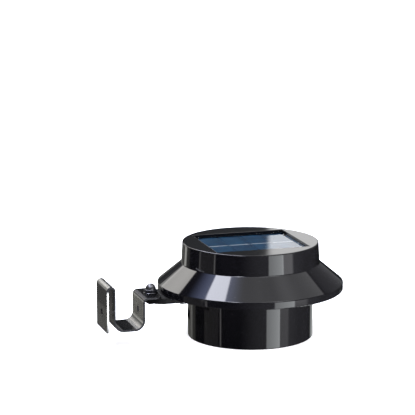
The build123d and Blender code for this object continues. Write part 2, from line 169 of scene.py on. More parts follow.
def frosted_lens():
    """Milky plastic with small square prisms and a fine frost."""
    material, tree, place = new_finish("lens_frosted")
    squares = {"Vector": place, "Scale": 0.62}
    prism = tree.node("ShaderNodeTexVoronoi", {"distance": "MANHATTAN"}, squares)
    cloud = grain(tree, place, 9.0, 3.0)
    frost = grain(tree, place, 0.25, 2.0)
    milk = 0.7 * prism + 0.5 * cloud
    surface(tree, {
        "Base Color": tint(tree, milk, (0.66, 0.70, 0.72, 1), (0.88, 0.89, 0.88, 1)),
        "Roughness": 0.32 + 0.2 * frost,
        "Transmission Weight": 0.55,
        "IOR": 1.49,
        "Normal": relief(tree, 0.06 * prism + 0.004 * frost),
    })
    return material


def black_rubber():
    """Soft black rubber with a pale bloom and small pits."""
    material, tree, place = new_finish("seal_rubber")
    bloom = grain(tree, place, 3.0, 4.0)
    pit = grain(tree, place, 0.2, 2.0)
    surface(tree, {
        "Base Color": tint(tree, bloom, grey(0.012), (0.035, 0.035, 0.034, 1)),
        "Roughness": 0.62 + 0.2 * bloom,
        "Specular IOR Level": 0.3,
        "Normal": relief(tree, 0.02 * pit),
    })
    return material


seal_rubber = black_rubber()
dress("lens", frosted_lens())
dress("lens_seal", seal_rubber)

# Reflector tray: a shallow white dish above the lens that throws the light down.
# Moulded in bright white plastic, snapped into the housing, with posts for the circuit board.


def tray_white():
    """White plastic with a faint cloud."""
    material, tree, place = new_finish("tray_white")
    cloud = grain(tree, place, 8.0, 3.0)
    skin = grain(tree, place, 0.3, 2.0)
    surface(tree, {
        "Base Color": tint(tree, cloud, (0.78, 0.78, 0.76, 1), (0.86, 0.86, 0.85, 1)),
        "Roughness": 0.3 + 0.15 * skin,
        "Normal": relief(tree, 0.003 * skin),
    })
    return material


dress("reflector", tray_white())

# Light diodes: three round water-clear lamps that look down through the tray.
# Cast in epoxy, each with a collar, soldered to the underside of the circuit board.


def diode_clear():
    """Clear epoxy with a little haze."""
    material, tree, place = new_finish("diode_clear")
    haze = grain(tree, place, 1.5, 3.0)
    surface(tree, {
        "Base Color": tint(tree, haze, (0.90, 0.92, 0.93, 1), (0.98, 0.97, 0.92, 1)),
        "Roughness": 0.05 + 0.1 * haze,
        "Transmission Weight": 0.85,
        "IOR": 1.54,
    })
    return material


dress("light_diodes", diode_clear())

# Circuit board and its parts: a round green board with a driver chip, a coil and a capacitor.
# Glass fibre board with printed copper under a green lacquer, held to the tray's posts
# by three small screws.

capacitor_stripe_y = -13.6


def axis(tree, place, name):
    """One measure of a place."""
    return tree.node("ShaderNodeSeparateXYZ", None, {0: place}, out=name)


def board_green():
    """Green lacquer that stands up over islands of copper."""
    material, tree, place = new_finish("board_green")
    threads = {"Vector": place, "Scale": 0.8}
    weave = tree.node("ShaderNodeTexWave", {"bands_direction": "X"}, threads)
    islands = {"Vector": place, "Scale": 0.16}
    copper = tree.node("ShaderNodeTexVoronoi", {"feature": "DISTANCE_TO_EDGE"}, islands) > 0.05
    lacquer = grain(tree, place, 6.0, 3.0)
    green = tint(tree, copper, (0.006, 0.055, 0.022, 1), (0.018, 0.12, 0.05, 1))
    surface(tree, {
        "Base Color": tint(tree, 0.25 * lacquer, green, (0.03, 0.16, 0.07, 1)),
        "Roughness": 0.28 + 0.15 * lacquer,
        "Normal": relief(tree, 0.03 * copper + 0.004 * weave),
    })
    return material


def dull_block(name, dark, pale, rough, patch, shine=0.5):
    """Plain moulded or pressed body with a mottled, slightly pitted face."""
    material, tree, place = new_finish(name)
    mottle = grain(tree, place, patch, 4.0)
    pit = grain(tree, place, patch / 6, 2.0)
    surface(tree, {
        "Base Color": tint(tree, mottle, dark, pale),
        "Roughness": rough + 0.2 * pit,
        "Specular IOR Level": shine,
        "Normal": relief(tree, 0.012 * pit),
    })
    return material


def capacitor_sleeve():
    """Dark shrunk sleeve with a pale stripe down one side."""
    material, tree, place = new_finish("capacitor_sleeve")
    stripe = axis(tree, place, "Y") < capacitor_stripe_y
    shrink = grain(tree, place, 1.2, 3.0)
    surface(tree, {
        "Base Color": tint(tree, stripe, (0.010, 0.016, 0.045, 1), (0.42, 0.43, 0.44, 1)),
        "Roughness": 0.3 + 0.2 * shrink,
        "Normal": relief(tree, 0.01 * shrink),
    })
    return material


dress("circuit_board", board_green())
dress("driver_chip", dull_block("chip_black", (0.012, 0.012, 0.013, 1), grey(0.03), 0.5, 1.0))
ferrite_dark, ferrite_pale = (0.02, 0.019, 0.018, 1), (0.06, 0.055, 0.05, 1)
dress("inductor", dull_block("ferrite", ferrite_dark, ferrite_pale, 0.45, 1.6))
dress("capacitor", capacitor_sleeve())

# Slide switch: a small grey switch under the board's edge, and the black slider
# that shows in the slot of the housing's wall, with three finger grooves.
# The slider is moulded in black plastic and moves sideways along the slot.

slider_turn = 171.0
knob_face = 35.6
knob_depth = 2.4
knob_half = 2.5
knob_low, knob_high = 11.7, 16.2
knob_edge = 0.18
groove_pitch = 1.2
groove_half = 0.3
groove_depth = 0.4
stem_half = 1.0
stem_inner = 30.3
stem_low, stem_high = 13.1, 14.8
stem_root = 0.8
slider_rest = -1.5
weld_gap = 0.004
sliver = 0.002
crease = math.radians(35)


def cover(mesh, rows, back_to_first=False):
    """Faces from row to row of points, then over both ends or on to the first row."""
    for low, high in zip(rows, rows[1:] + rows[:1] if back_to_first else rows[1:]):
        for i in range(len(low)):
            j = (i + 1) % len(low)
            mesh.faces.new((low[i], low[j], high[j], high[i]))
    if not back_to_first:
        mesh.faces.new(rows[0][::-1])
        mesh.faces.new(rows[-1])


def skin(mesh, rings, back_to_first=False):
    """Turn rings of places into points and cover them."""
    cover(mesh, [[mesh.verts.new(point) for point in ring] for ring in rings], back_to_first)


def slab(mesh, outline, low, high):
    """Upright block with an outline seen from above."""
    skin(mesh, [[(x, y, z) for x, y in outline] for z in (low, high)])


def soften(mesh, edges, offset, segments):
    """Round off edges."""
    bmesh.ops.bevel(mesh, geom=edges, offset=offset, segments=segments, profile=0.5, affect="EDGES")


def shaped(mesh, tool, operation):
    """A mesh with the shape of a second mesh taken out of it or joined to it."""
    things = []
    for form in (mesh, tool):
        bmesh.ops.recalc_face_normals(form, faces=form.faces)
        data = bpy.data.meshes.new("blank")
        form.to_mesh(data)
        form.free()
        things.append(bpy.data.objects.new("blank", data))
        bpy.context.scene.collection.objects.link(things[-1])
    change = things[0].modifiers.new("Change", "BOOLEAN")
    change.operation = operation
    change.solver = "EXACT"
    change.object = things[1]
    bpy.context.view_layer.update()
    made = bmesh.new()
    made.from_object(things[0], bpy.context.evaluated_depsgraph_get())
    for thing in things:
        bpy.data.objects.remove(thing)
    return made


def set_piece(name, mesh, material, body, slot, *nodes):
    """Turn a mesh in millimetres into a piece that rides on a body and stands for CAD nodes."""
    bmesh.ops.remove_doubles(mesh, verts=mesh.verts, dist=weld_gap)
    bmesh.ops.dissolve_degenerate(mesh, edges=mesh.edges, dist=sliver)
    bmesh.ops.recalc_face_normals(mesh, faces=mesh.faces)
    bmesh.ops.scale(mesh, vec=(0.001, 0.001, 0.001), verts=mesh.verts)
    for face in mesh.faces:
        face.smooth = True
    for edge in mesh.edges:
        edge.smooth = len(edge.link_faces) == 2 and edge.calc_face_angle() < crease
    data = bpy.data.meshes.new(name)
    mesh.to_mesh(data)
    mesh.free()
    data.materials.append(material)
    piece = bpy.data.objects.new(name, data)
    bpy.context.scene.collection.objects.link(piece)
    shading = piece.modifiers.new("Even shading", "WEIGHTED_NORMAL")
    shading.keep_sharp = True
    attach(piece, body)
    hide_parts(*nodes)


def slider_block(outline, low, high):
    """One block of the slider with softened edges, drawn along X and turned to the slot."""
    mesh = bmesh.new()
    slab(mesh, [(x, y + slider_rest) for x, y in outline], low, high)
    soften(mesh, mesh.edges[:], knob_edge / 2, 2)
    turn = Matrix.Rotation(math.radians(slider_turn), 3, "Z")
    bmesh.ops.rotate(mesh, matrix=turn, verts=mesh.verts)
    return mesh


def slider_mesh():
    """Grooved knob with the stem that reaches in to the switch."""
    back = knob_face - knob_depth
    outline = [(back, knob_half), (back, -knob_half), (knob_face, -knob_half)]
    floor = knob_face - groove_depth
    for middle in (-groove_pitch, 0, groove_pitch):
        outline += [(knob_face, middle - groove_half), (floor, middle - groove_half / 2),
                    (floor, middle + groove_half / 2), (knob_face, middle + groove_half)]
    outline.append((knob_face, knob_half))
    root = back + stem_root
    stem = [(stem_inner, -stem_half), (root, -stem_half),
            (root, stem_half), (stem_inner, stem_half)]
    knob_block = slider_block(outline, knob_low, knob_high)
    return shaped(knob_block, slider_block(stem, stem_low, stem_high), "UNION")


dress("switch_body", dull_block("switch_grey", grey(0.10), (0.2, 0.2, 0.19, 1), 0.4, 2.0))
slider_black = glossy_black("slider_black", (0.008, 0.008, 0.009, 1), (0.016, 0.016, 0.017, 1))
set_piece("switch_slider_knob", slider_mesh(), slider_black,
          "slider", "slider_black", "switch_slider")

# Battery and cradle: one rechargeable cell of AA size in an open black tray.
# The cradle is moulded and heat-staked to the flange, the cell has a plain shrink sleeve,
# and nickel plated contacts stand at both ends with short leads down to the board.

sleeve_start, sleeve_end = -23.2, 25.0
sleeve_ring = (12.0, 24.6)


def battery_sleeve():
    """Green sleeve with a pale ring at one end, and bare metal past both ends."""
    material, tree, place = new_finish("battery_sleeve")
    lengthways = axis(tree, place, "Y")
    ring = (lengthways > sleeve_ring[0]) * (lengthways < sleeve_ring[1])
    bare = (lengthways > sleeve_end) + (lengthways < sleeve_start)
    wrinkle = grain(tree, place, 1.4, 3.0, (1, 0.2, 1))
    sleeve = tint(tree, ring, (0.02, 0.16, 0.07, 1), (0.45, 0.46, 0.45, 1))
    surface(tree, {
        "Base Color": tint(tree, bare, sleeve, (0.62, 0.61, 0.58, 1)),
        "Metallic": bare,
        "Roughness": 0.28 + 0.15 * wrinkle,
        "Normal": relief(tree, 0.012 * wrinkle),
    })
    return material


def plated(name, dark, pale, rough, dull_and_shaded_below=None):
    """Bright plated metal with drawn lines and marks, rougher and painted darker as shade below a
    height if one is given.
    """
    material, tree, place = new_finish(name)
    cloud = grain(tree, place, 2.2, 4.0)
    drawn = grain(tree, place, 0.18, 2.0, (1, 1, 0.12))
    mark = grain(tree, place, 0.8, 4.0) > 0.68
    bright = tint(tree, cloud * (1 - 0.4 * mark), dark, pale)
    roughness = rough + 0.1 * drawn + 0.12 * mark
    if dull_and_shaded_below:
        # Below the height the colour is painted dark as shade, and the surface is rougher.
        dull = axis(tree, place, "Z") < dull_and_shaded_below
        bright = tint(tree, dull, bright, (0.03, 0.03, 0.035, 1))
        roughness = roughness + 0.25 * dull
    surface(tree, {
        "Base Color": bright,
        "Metallic": 1.0,
        "Roughness": roughness,
        "Normal": relief(tree, 0.0015 * drawn),
    })
    return material


def lead_sleeve(name, dark, pale):
    """Soft insulation of a lead."""
    material, tree, place = new_finish(name)
    dull = grain(tree, place, 1.0, 3.0)
    surface(tree, {
        "Base Color": tint(tree, dull, dark, pale),
        "Roughness": 0.35 + 0.2 * dull,
        "Normal": relief(tree, 0.006 * dull),
    })
    return material


contact_nickel = plated("contact_nickel", (0.52, 0.50, 0.46, 1), (0.68, 0.66, 0.61, 1), 0.2)
lead_black = lead_sleeve("lead_black", grey(0.012), grey(0.03))
lead_red = lead_sleeve("lead_red", (0.30, 0.012, 0.010, 1), (0.45, 0.03, 0.022, 1))
cradle_black = dull_block("cradle_black", grey(0.012), (0.025, 0.025, 0.026, 1), 0.35, 5.0)
dress("battery_cradle", cradle_black)
dress("battery", battery_sleeve())
dress("positive_contact", contact_nickel)
dress("spring_contact", contact_nickel)
dress("panel_lead_black", lead_black)
dress("battery_lead_black", lead_black)
dress("panel_lead_red", lead_red)
dress("battery_lead_red", lead_red)

# Top shell: crown, conical skirt and rim in one piece, with a sunk pocket for the panel.
# Injection moulded in the same glossy black plastic, screwed to the flange from below
# on a flat rubber ring.

dress("top_shell", glossy_black("shell_black", gloss_dark, gloss_pale))
dress("shell_seal", seal_rubber)

# Solar panel: four strips of blue crystal cell on a black board, joined by tinned ribbons
# and sealed under a clear cast layer that stands a little below the crown's face.
# The cells are printed with fine silver fingers across the ribbon.

cell_low, cell_high = [1000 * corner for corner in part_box("solar_cells")]
ribbon_low, ribbon_high = [1000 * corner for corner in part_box("cell_ribbons")]
cover_low, cover_high = [1000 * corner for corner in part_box("panel_cover")]
cell_count = 4
cell_gap = 0.6
cell_width = (cell_high.x - cell_low.x - (cell_count - 1) * cell_gap) / cell_count
cell_starts = [cell_low.x + i * (cell_width + cell_gap) for i in range(cell_count)]
cell_chamfer = 0.5
cell_edge = 0.04
finger_pitch = 0.85
finger_half = 0.055
ribbon_edge = 0.05
ribbon_step = 0.8
ribbon_swell, swell_rate = 0.05, 2.1
ribbon_rise, rise_rate = 0.02, 3.3
ribbon_taper = 0.35
cover_edge = 0.22
cover_lap = 0.02


def cell_blue():
    """Blue crystal in flakes, with thin silver fingers."""
    material, tree, place = new_finish("cell_blue")
    patches = {"Vector": place, "Scale": 0.22}
    crystal = tree.node("ShaderNodeTexVoronoi", None, patches, out="Color")
    shade = tree.node("ShaderNodeSeparateColor", None, {0: crystal}, out=0)
    flake = grain(tree, place, 0.8, 3.0, (1, 0.4, 1))
    finger = tree.math("PINGPONG", axis(tree, place, "X"), finger_pitch) < finger_half
    blue = tint(tree, shade, (0.002, 0.016, 0.048, 1), (0.005, 0.040, 0.090, 1))
    blue = tint(tree, 0.35 * flake, blue, (0.004, 0.038, 0.055, 1))
    surface(tree, {
        "Base Color": tint(tree, finger, blue, (0.05, 0.08, 0.10, 1)),
        "Roughness": 0.30 + 0.15 * flake,
        "Metallic": 0.25 * finger,
        "Specular IOR Level": 0.1,
        "Normal": relief(tree, 0.006 * finger + 0.002 * shade),
    })
    return material


def cover_clear():
    """Clear cast layer: seen through from above, mirror-like at a flat angle."""
    material, tree, place = new_finish("clear_cast")
    flow = relief(tree, 0.001 * grain(tree, place, 9.0, 1.0))
    gloss = {"Color": grey(1), "Roughness": 0.03, "Normal": flow}
    mirror = tree.node("ShaderNodeBsdfGlossy", None, gloss)
    clear = tree.node("ShaderNodeBsdfTransparent", None, {"Color": (0.96, 0.98, 0.97, 1)})
    share = tree.node("ShaderNodeFresnel", None, {"IOR": 1.5, "Normal": flow})
    both = tree.node("ShaderNodeMixShader", None, {0: share, 1: clear, 2: mirror})
    tree.node("ShaderNodeOutputMaterial", None, {"Surface": both})
    return material


def cell_mesh():
    """Thin strips with clipped corners."""
    mesh = bmesh.new()
    front, back, cut = cell_low.y, cell_high.y, cell_chamfer
    for left in cell_starts:
        right = left + cell_width
        outline = [(left + cut, front), (right - cut, front),
                   (right, front + cut), (right, back - cut),
                   (right - cut, back), (left + cut, back),
                   (left, back - cut), (left, front + cut)]
        slab(mesh, outline, cell_low.z, cell_high.z)
    soften(mesh, mesh.edges[:], cell_edge, 1)
    return mesh


def ribbon_mesh():
    """Soft soldered strips, a little uneven along their length."""
    mesh = bmesh.new()
    base = ribbon_low.z
    steps = int(cell_width / ribbon_step)
    for left in cell_starts:
        rings = []
        for k in range(steps + 1):
            x = left + cell_width * k / steps
            end = ribbon_taper if k in (0, steps) else 0.0
            swell = ribbon_swell * math.sin(swell_rate * x)
            half = ribbon_high.y - ribbon_swell + swell - end
            flat = half - ribbon_edge
            top = ribbon_high.z - ribbon_rise + ribbon_rise * math.cos(rise_rate * x) - end / 6
            side = top - ribbon_edge
            outline = [(-half, base), (half, base), (half, side),
                       (flat, top), (-flat, top), (-half, side)]
            rings.append([(x, y, z) for y, z in outline])
        skin(mesh, rings)
    return mesh


def cover_mesh():
    """Flat clear slab poured round the cells and ribbons, with a rounded upper edge."""
    mesh = bmesh.new()
    top, bevel = cover_high.z, 0.3 * cover_edge
    levels = [(0, cell_low.z + cover_lap), (0, top - cover_edge),
              (bevel, top - bevel), (cover_edge, top)]
    rings = []
    for inset, z in levels:
        left, right = cover_low.x + inset, cover_high.x - inset
        front, back = cover_low.y + inset, cover_high.y - inset
        rings.append([(left, front, z), (right, front, z), (right, back, z), (left, back, z)])
    skin(mesh, rings)
    return mesh


ribbon_tin = plated("ribbon_tin", (0.50, 0.52, 0.55, 1), (0.74, 0.76, 0.79, 1), 0.32)
board_dark, board_pale = (0.006, 0.007, 0.010, 1), (0.014, 0.015, 0.020, 1)
dress("panel_board", dull_block("panel_board_black", board_dark, board_pale, 0.3, 6.0))
set_piece("solar_cell_strips", cell_mesh(), cell_blue(), "lamp", "cell_blue", "solar_cells")
set_piece("tinned_ribbons", ribbon_mesh(), ribbon_tin, "lamp", "ribbon_tin", "cell_ribbons")
set_piece("panel_cast_cover", cover_mesh(), cover_clear(), "lamp", "clear_cast", "panel_cover")

# Screws: four hold the shell to the flange, two hold the arm and three hold the board.
# Small pan head screws with a cross recess, pressed from steel wire and zinc plated.

screw_zinc = plated("screw_zinc", (0.40, 0.41, 0.43, 1), (0.60, 0.61, 0.62, 1), 0.24)
dress("housing_screws", screw_zinc)
dress("arm_screws", screw_zinc)
dress("board_screws", screw_zinc)

# Lamp arm: a flat tongue under the rim that carries the hook.
# Moulded in satin black plastic with rounded corners, cut round to clear the housing
# and screwed up into the flange.

arm_low, arm_high = [1000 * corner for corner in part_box("lamp_arm")]
bolt_low, bolt_high = [1000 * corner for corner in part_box("clamp_bolt")]
arm_corner = 11.0
arm_cut_radius = 37.7
arm_edge = 0.3
arm_hole_radius = 1.7
arm_hole_x, arm_hole_y = -43.6, 7.0
bolt_x = (bolt_low.x + bolt_high.x) / 2
neck_half = 2.1
cut_spare = 1.0
arm_sharp = math.radians(60)


def arc(centre, radius, start, end, steps):
    """Points along an arc, angles in degrees."""
    x, y = centre
    turns = [math.radians(start + (end - start) * i / steps) for i in range(steps + 1)]
    return [(x + radius * math.cos(turn), y + radius * math.sin(turn)) for turn in turns]


def arm_mesh():
    """Outline of the tongue, made thick and with softened edges."""
    mesh = bmesh.new()
    half = arm_high.y
    reach = math.degrees(math.asin(half / arm_cut_radius))
    end_x = arm_low.x + arm_corner
    outline = arc((end_x, half - arm_corner), arm_corner, 90, 180, 8)
    outline += arc((end_x, arm_corner - half), arm_corner, 180, 270, 8)
    outline += arc((0, 0), arm_cut_radius, 180 + reach, 180 - reach, 24)
    slab(mesh, outline, arm_low.z, arm_high.z)
    sharp = [edge for edge in mesh.edges if edge.calc_face_angle() > arm_sharp]
    soften(mesh, sharp, arm_edge, 2)
    return mesh


def arm_holes():
    """Cutting mesh for the screw holes and the square hole of the bolt's neck."""
    tool = bmesh.new()
    holes = [arc((arm_hole_x, y), arm_hole_radius, 0, 345, 23) for y in (-arm_hole_y, arm_hole_y)]
    near, far = bolt_x + neck_half, bolt_x - neck_half
    holes.append([(far, -neck_half), (near, -neck_half), (near, neck_half), (far, neck_half)])
    for outline in holes:
        slab(tool, outline, arm_low.z - cut_spare, arm_high.z + cut_spare)
    return tool


arm_black = dull_block("arm_black", grey(0.002), grey(0.004), 0.4, 4.0, shine=0.1)
set_piece("lamp_arm_tongue", shaped(arm_mesh(), arm_holes(), "DIFFERENCE"), arm_black,
          "lamp", "arm_black", "lamp_arm")

# Clamp bolt, washer and cap nut: they hold the hook on the arm and let it swing.
# A round headed bolt with a square neck comes up through arm and hook; the washer is stamped,
# and the nut is turned from hexagon bar with a pressed dome, all nickel plated; the nut's hexagon
# is painted darker as shade.

washer_low, washer_high = [1000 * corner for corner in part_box("washer")]
nut_low, nut_high = [1000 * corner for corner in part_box("cap_nut")]
washer_hole = 2.08
washer_edge = 0.12
nut_flat = nut_high.y
nut_corner = nut_flat / math.cos(math.radians(30))
nut_corner_cut = 0.12
nut_base_cut, nut_top_cut = 0.1, 0.05
nut_shoulder = nut_low.z + 1.6
nut_chamfer = 0.225
nut_dome_radius = 3.05
dome_foot_wide, dome_foot_low, dome_foot_high = 0.12, 0.03, 0.16
dome_steps = 13
spokes = 96


def turned(profile, reach=None):
    """Rings about the bolt, their radius cut back by a shape seen from above."""
    rings = []
    for radius, z in profile:
        ring = []
        for i in range(spokes):
            turn = 2 * math.pi * i / spokes
            here = min(radius, reach(turn)) if reach else radius
            ring.append((bolt_x + here * math.cos(turn), here * math.sin(turn), z))
        rings.append(ring)
    return rings


def washer_mesh():
    """Flat ring with softened edges."""
    mesh = bmesh.new()
    inner, outer, soft = washer_hole, washer_high.y, washer_edge
    low, high = washer_low.z, washer_high.z
    profile = [(inner, low), (outer - soft, low), (outer, low + soft), (outer, high - soft),
               (outer - soft, high), (inner + soft, high), (inner, high - soft)]
    skin(mesh, turned(profile), back_to_first=True)
    return mesh


def hexagon(turn):
    """Reach of the nut's flats at a turn, with blunted corners."""
    off = (turn + math.radians(30)) % math.radians(60) - math.radians(30)
    return min(nut_flat / math.cos(off), nut_corner - nut_corner_cut)


def nut_mesh():
    """Chamfered hexagon with a round dome on it."""
    mesh = bmesh.new()
    low, top = nut_low.z, nut_shoulder
    profile = [(nut_flat - nut_base_cut, low), (nut_corner, low + nut_chamfer),
               (nut_corner, top - nut_chamfer), (nut_flat - nut_top_cut, top),
               (nut_dome_radius + dome_foot_wide, top + dome_foot_low),
               (nut_dome_radius, top + dome_foot_high)]
    dome_z = nut_high.z - nut_dome_radius
    profile += arc((0, dome_z), nut_dome_radius, 0, 90, dome_steps)[:-1]
    skin(mesh, turned(profile, hexagon))
    return mesh


bolt_plate = plated("bolt_plate", (0.08, 0.08, 0.09, 1), (0.15, 0.15, 0.16, 1), 0.2)
nut_dark, nut_pale = (0.075, 0.075, 0.08, 1), (0.10, 0.10, 0.105, 1)
# The hexagon below the shoulder is painted darker as shade.
nut_bright = plated("nut_bright", nut_dark, nut_pale, 0.34, dull_and_shaded_below=nut_shoulder)
dress("clamp_bolt", bolt_plate)
set_piece("stamped_washer", washer_mesh(), bolt_plate, "lamp", "bolt_plate", "washer")
set_piece("domed_cap_nut", nut_mesh(), nut_bright, "lamp", "nut_bright", "cap_nut")

# Hook: one flat steel strip bent to a wide seat that drops over a gutter's edge,
# with a tight hairpin fold and an outer plate, and a screw hole through all three walls.
# Cut from strip, bent cold and dark plated; the cut edges are dull. Paler and darker stretches
# along its faces are painted reflection, and the outer plate's cut edges are painted pale as a
# highlight.

hook_high = 1000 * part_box("hook_bracket")[1]
hook_half = hook_high.y
hook_thick = 1.2
hook_end_x = hook_high.x
hook_top = 29.4
hook_corner = 5.0
hook_edge = 0.2
leg_x = -69.0
leg_bend = 2.7
seat_z = 11.3
leg_seat_bend = 5.0
fold_seat_bend = 4.8
middle_x = -85.4
fold_bend = 2.67
fold_top = hook_high.z
plate_low = fold_top - 27.6
plate_corner = 1.0
# Lengths down the outer plate: painted dark reflection over the first, painted pale reflection from
# the second on.
plate_dark, plate_pale = 9, 11
# Painted reflection across the fold, stretch by stretch: a painted highlight over most of it.
fold_painted_reflection = [0.1, 0.4, 0.8, 0.9, 0.9, 0.9, 0.9, 0.0]
# The outer plate's cut edges are painted pale as a highlight, fading towards the plate's foot over
# this length.
highlight_fade, highlight_least = 9, 0.2
hook_hole_z = 20.3
hook_hole_radius = 1.75
hook_hole_edge = 0.18
hole_steps = 40
bend_steps, corner_steps, edge_steps, across_steps = 14, 10, 3, 12
least_soft, flat_gap, least_step = 0.02, 0.05, 0.01
strip_marks = ("painted_reflection", "cut_edge", "painted_edge_highlight")


def dark_steel(name, dark, pale, sheared, bare, rough):
    """Dark dipped steel with rolling lines, painted paler in places as reflection, dull cut edges,
    and a painted highlight on some cut edges.
    """
    material, tree, place = new_finish(name)
    cloud = grain(tree, place, 6.0, 4.0)
    lines = grain(tree, place, 0.35, 3.0, (0.06, 1, 0.06))
    mark = (grain(tree, place, 0.9, 5.0) > 0.66) * 0.6
    painted_reflection, cut_edge, painted_edge_highlight = [
        tree.node("ShaderNodeAttribute", {"attribute_name": kept}, out="Fac")
        for kept in strip_marks
    ]
    # The faces are painted paler along the stretches that carry painted reflection.
    face = tint(tree, painted_reflection * (0.6 + 0.8 * cloud), dark, pale)
    # Cut edges are dull; where the painted edge highlight is set they take the pale edge colour, a
    # painted highlight.
    edge = tint(tree, painted_edge_highlight, sheared, bare)
    wear_and_sheen = rough + 0.10 * lines + 0.06 * cloud + 0.10 * mark
    surface(tree, {
        "Base Color": tint(tree, cut_edge, face, edge),
        "Metallic": 1.0,
        "Specular Tint": (0.6, 0.6, 0.6, 1),
        "Roughness": wear_and_sheen + 0.35 * cut_edge * (1 - painted_edge_highlight),
        "Normal": relief(tree, 0.0022 * lines + 0.0015 * mark),
    })
    return material


def between(first, second, share):
    """Value on the way from one value to another."""
    return first + (second - first) * share


def strip_line():
    """Places along the strip's middle: x, z, where its upper face looks, and how much painted
    reflection it carries.
    """
    half = hook_thick / 2
    line = []

    def run(start, end, facing, steps, painted_reflection):
        for i in range(steps + 1):
            x, z = [between(a, b, i / steps) for a, b in zip(start, end)]
            line.append((x, z, facing, between(*painted_reflection, i / steps)))

    def bend(centre, radius, start, end, outward, painted_reflection):
        for i in range(1, bend_steps):
            turn = math.radians(start + (end - start) * i / bend_steps)
            out_x, out_z = math.cos(turn), math.sin(turn)
            line.append((centre[0] + radius * out_x, centre[1] + radius * out_z,
                         (outward * out_x, outward * out_z), painted_reflection[i * len(painted_reflection) // bend_steps]))

    arm_z, floor_z = hook_top - half, seat_z - half
    leg, middle = leg_x + half, middle_x - half
    plate = middle_x - 2 * fold_bend + half
    arm_end, leg_high = leg_x + leg_bend, hook_top - leg_bend
    seat_right, leg_low = leg_x - leg_seat_bend, seat_z + leg_seat_bend
    seat_left, middle_low = middle_x + fold_seat_bend, seat_z + fold_seat_bend
    plate_high = fold_top - fold_bend
    # The last value of each run and bend is painted reflection: pale on the leg, the middle wall,
    # the fold and the lower plate, dark on the arm, the seat and the top of the plate.
    run((hook_end_x, arm_z), (arm_end, arm_z), (0, 1), 12, (0.1, 0.1))
    bend((arm_end, leg_high), leg_bend - half, 90, 180, 1, [0.0, 0.0, 0.2, 0.6])
    run((leg, leg_high), (leg, leg_low), (-1, 0), 8, (1.0, 0.8))
    bend((seat_right, leg_low), leg_seat_bend + half, 0, -90, -1, [0.5])
    run((seat_right, floor_z), (seat_left, floor_z), (0, 1), 6, (0.1, 0.0))
    bend((seat_left, middle_low), fold_seat_bend + half, -90, -180, -1, [0.0])
    run((middle, middle_low), (middle, plate_high), (1, 0), 12, (0.9, 0.9))
    bend((middle_x - fold_bend, plate_high), fold_bend - half, 0, 180, 1, fold_painted_reflection)
    run((plate, plate_high), (plate, plate_high - plate_dark), (-1, 0), 6, (0.0, 0.05))
    run((plate, plate_high - plate_pale), (plate, plate_low), (-1, 0), 10, (0.4, 0.5))
    return line


def strip_stations(travel):
    """Distances along the strip that get a cross section, close together at its ends."""
    length = travel[-1]
    stations = set(travel)
    for k in range(corner_steps + 1):
        share = 1 - math.cos(math.radians(90 * k / corner_steps))
        stations.update((hook_corner * share, length - plate_corner * share))
    for k in range(edge_steps + 1):
        off = hook_edge * (1 - math.sin(math.radians(90 * k / edge_steps)))
        stations.update((off, length - off))
    ordered = []
    for spot in sorted(stations):
        if not ordered or spot - ordered[-1] > least_step:
            ordered.append(spot)
    return ordered


def strip_at(line, travel, spot):
    """Place, facing and painted reflection of the strip at a distance along it."""
    last = len(travel) - 2
    i = next(k for k in range(last + 1) if spot <= travel[k + 1] or k == last)
    share = (spot - travel[i]) / max(travel[i + 1] - travel[i], 1e-9)
    (x0, z0, f0, r0), (x1, z1, f1, r1) = line[i], line[i + 1]
    facing = Vector([between(a, b, share) for a, b in zip(f0, f1)]).normalized()
    return between(x0, x1, share), between(z0, z1, share), facing, between(r0, r1, share)


def cutback(off, radius):
    """How far a rounded corner draws in at a distance from its end."""
    return radius - math.sqrt(max(radius**2 - (radius - off) ** 2, 0)) if off < radius else 0.0


def strip_ring(wide, tall, soft):
    """Rounded cross section: place across, height, and 1 on the cut edges."""
    ring = []
    for side, upper in ((1, 1), (-1, 1), (-1, -1), (1, -1)):
        for k in range(edge_steps + 1):
            step = 90 * k / edge_steps
            turn = math.radians(step if side * upper > 0 else 90 - step)
            y = side * (wide - soft + soft * math.cos(turn))
            ring.append((y, upper * (tall - soft + soft * math.sin(turn)), 1.0))
        if side * upper > 0:
            flat = wide - soft - flat_gap
            for k in range(across_steps + 1):
                ring.append((side * flat * (1 - 2 * k / across_steps), upper * tall, 0.0))
    return ring


def strip_mesh():
    """The strip's cross section carried along its line, with rounded corners at both ends."""
    mesh = bmesh.new()
    line = strip_line()
    travel = [0.0]
    for (x0, z0, *_), (x1, z1, *_) in zip(line, line[1:]):
        travel.append(travel[-1] + math.hypot(x1 - x0, z1 - z0))
    length = travel[-1]
    painted_reflection, cut_edge, painted_edge_highlight = [mesh.verts.layers.float.new(kept) for kept in strip_marks]
    rows = []
    for spot in strip_stations(travel):
        x, z, facing, wear_and_sheen = strip_at(line, travel, spot)
        narrowed = max(cutback(spot, hook_corner), cutback(length - spot, plate_corner))
        shrink = max(cutback(spot, hook_edge), cutback(length - spot, hook_edge))
        wide, tall = hook_half - narrowed - shrink, hook_thick / 2 - shrink
        # Painted highlight on the outer plate's cut edges, fading towards its foot.
        edge_highlight_share = 0.0
        if x < middle_x - fold_bend and z < fold_top - fold_bend:
            edge_highlight_share = min(max((z - plate_low) / highlight_fade, highlight_least), 1.0)
        row = []
        for y, rise, edge in strip_ring(wide, tall, max(hook_edge - shrink, least_soft)):
            vert = mesh.verts.new((x + facing.x * rise, y, z + facing.y * rise))
            # Each point keeps the painted reflection of its place along the strip.
            vert[painted_reflection] = wear_and_sheen
            vert[cut_edge] = edge if shrink == 0 else 1.0
            vert[painted_edge_highlight] = edge_highlight_share
            row.append(vert)
        rows.append(row)
    cover(mesh, rows)
    return mesh


